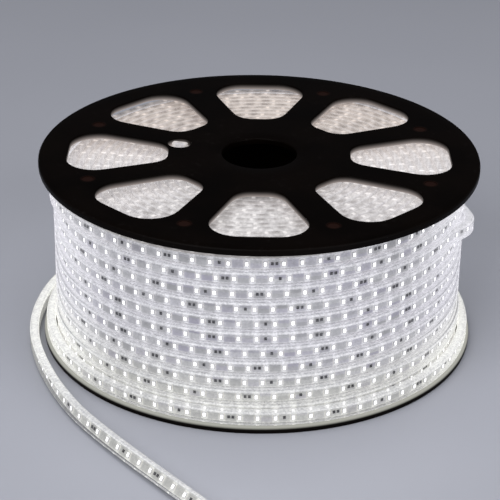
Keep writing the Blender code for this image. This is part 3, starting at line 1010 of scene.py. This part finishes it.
def free_end_run():
    """The last turn, a little slack in front, and the free end, which leans back at last.

    Leaning by the angle a puts its middle at half its width times cos a plus half its
    thickness times sin a, less the little by which its rounded edge sinks.
    """
    stops = []
    for index, (degrees, radius, height) in enumerate(LAST_TURN + FREE_END_ROUTE):
        angle = math.radians(degrees)
        if index < len(LAST_TURN):
            radius += LAST_TURN_SAG * max(0.0, -math.sin(angle)) ** 0.5
        stops.append((radius * math.cos(angle), radius * math.sin(angle), height))
    points = smooth_route(stops, FREE_END_POINTS)
    reach = reach_along(points)
    lean = FREE_END_LEAN * smooth_step((reach - reach[-1] + LEAN_LENGTH) / LEAN_LENGTH)
    half_width, half_thickness, rounded = STRIP_WIDTH / 2, STRIP_THICKNESS / 2, 0.0006
    points[:, 2] += half_width * (np.cos(lean) - 1) + (half_thickness - rounded) * np.sin(lean)
    return Run(points, False, FREE_END_PHASE, lean)


def conductor_ends(run, finish):
    """The two cut wires that show on the strip's end: round rods a little proud of it."""
    sides = 2 * math.pi * np.arange(10) / 10
    inside, proud = 0.0040, 0.0003
    tip, ahead = run.points[-1], run.ahead[-1]
    stub = Run(np.stack([tip - ahead * inside, tip + ahead * proud]), False,
               lean=np.full(2, FREE_END_LEAN))
    ring = WIRE_RADIUS * np.stack([np.cos(sides), np.sin(sides)], -1)
    vertices, faces, _ = joined([stub.carry(ring + [0, up]) for up in (-WIRE_REACH, WIRE_REACH)])
    return dress(add_mesh("free_end_wires", vertices, faces, [finish]), "led_strip")


def make_free_end(finishes):
    """The free end's pieces: sleeve, board, lights, resistors and the cut wires."""
    run = free_end_run()
    pieces = dress_strip("free_end", [run], finishes, ["free_end"])
    pieces["wires"] = conductor_ends(run, finishes["wire"])
    sleeve = pieces.pop("sleeve")


def make_inner_end(finishes):
    """The strip's cut inner end, standing upright in its hole."""
    low, high = WINDING_TOP + 0.0003, REEL_HEIGHT - END_RECESS
    outline = rounded_section(STRIP_THICKNESS, STRIP_WIDTH, SLEEVE_CORNER, 4)
    radial = np.array([math.cos(END_HOLE_ANGLE), math.sin(END_HOLE_ANGLE)])
    aside = np.array([-radial[1], radial[0]])
    centre = END_HOLE_REACH * radial

    def prism(section, bottom, top):
        """The section laid flat at the hole's middle and drawn up from bottom to top."""
        flat = centre + section[:, :1] * aside + section[:, 1:] * radial
        count = len(section)
        grid = np.concatenate([np.concatenate([flat, np.full((count, 1), height)], -1)
                               for height in (bottom, top)])
        faces = grid_quads(2, count).tolist()
        faces += [list(range(count - 1, -1, -1)), list(range(count, 2 * count))]
        spread = section[:, 1] / STRIP_WIDTH + 0.5
        uv = [[0.5, spread[corner % count]] for face in faces for corner in face]
        return grid, faces, uv

    vertices, faces, uv = prism(outline, low, high)
    sleeve = add_mesh("inner_end_sleeve", vertices, faces, [finishes["sleeve"]], uv)
    dress(sleeve, "led_strip", "inner_end")
    vertices, faces, uv = prism(BOARD_SECTION, low, high + 0.0002)
    dress(add_mesh("inner_end_board", vertices, faces, [finishes["board"]], uv), "led_strip")


# ---------- floor and light ----------

def pale_floor():
    finish = Finish("pale_floor", (0.38, 0.39, 0.44), Roughness=0.50)
    cloud = finish.noise(3.0, 2.0)
    finish.set(Base_Color=finish.mix(cloud, (0.36, 0.37, 0.42), (0.40, 0.41, 0.46)))
    half = 4.0
    corners = [(-half, -half, 0), (half, -half, 0), (half, half, 0), (-half, half, 0)]
    floor = add_mesh("floor", corners, [[0, 1, 2, 3]], [finish.material])


def area_light(name, place, target, size, power):
    """A square white light that faces its target."""
    data = bpy.data.lights.new(name, "AREA")
    data.shape = "RECTANGLE"
    data.size = data.size_y = size
    data.energy = power
    from_target = np.array(place, float) - np.array(target, float)
    from_target /= np.linalg.norm(from_target)
    side = np.cross([0.0, 0.0, 1.0], from_target)
    side /= np.linalg.norm(side)
    put(name, data, side, np.cross(from_target, side), from_target, place)


def set_light():
    scene = bpy.context.scene
    world = bpy.data.worlds.new("studio")
    world.use_nodes = True
    background = world.node_tree.nodes["Background"]
    background.inputs["Color"].default_value = (0.62, 0.64, 0.70, 1.0)
    background.inputs["Strength"].default_value = 0.16
    scene.world = world
    scene.view_settings.view_transform = "Standard"
    scene.view_settings.look = "None"
    area_light("key", (-0.9, -1.5, 1.5), (0, 0, 0.07), 1.4, 30.0)
    area_light("fill", (1.4, -1.2, 0.9), (0, 0, 0.07), 1.4, 17.0)
    area_light("top", (0.0, 0.1, 2.3), (0, 0, 0.0), 1.8, 26.0)


# ---------- making everything ----------

def make_object():
    plastic = black_plastic()
    light_frame = flecked("light_frame", (0.70, 0.70, 0.72), (0.80, 0.80, 0.80), 0.40, 900.0)
    light = glowing("lit_window", (1.0, 0.985, 0.99), 1.5)
    resistor = flecked("resistor", (0.010, 0.010, 0.013), (0.030, 0.029, 0.036), 0.42, 900.0)
    wire = flecked("copper_wire", (0.50, 0.24, 0.12), (0.68, 0.36, 0.20), 0.35, 1200.0, 1.0)
    outer = {"sleeve": clear_sleeve(), "board": board(), "light": light,
             "light_frame": light_frame, "resistor": resistor, "wire": wire}
    ends = {**outer, "sleeve": end_sleeve()}

    make_flange("bottom_flange_moulding", "bottom_flange", plastic, False)
    make_flange("top_flange_moulding", "top_flange", plastic, True)
    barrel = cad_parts["barrel"]
    barrel.data.materials.clear()
    barrel.data.materials.append(plastic)

    make_core(wound_core())
    dress_strip("outer_rows", outer_rows(), {**outer, "end_sleeve": ends["sleeve"]},
                ["winding", "loose_turn"])
    dress_strip("layer_ends", end_turns(), ends, [])
    make_inner_end(ends)
    make_free_end(outer)


place_camera()
make_object()
pale_floor()
set_light()
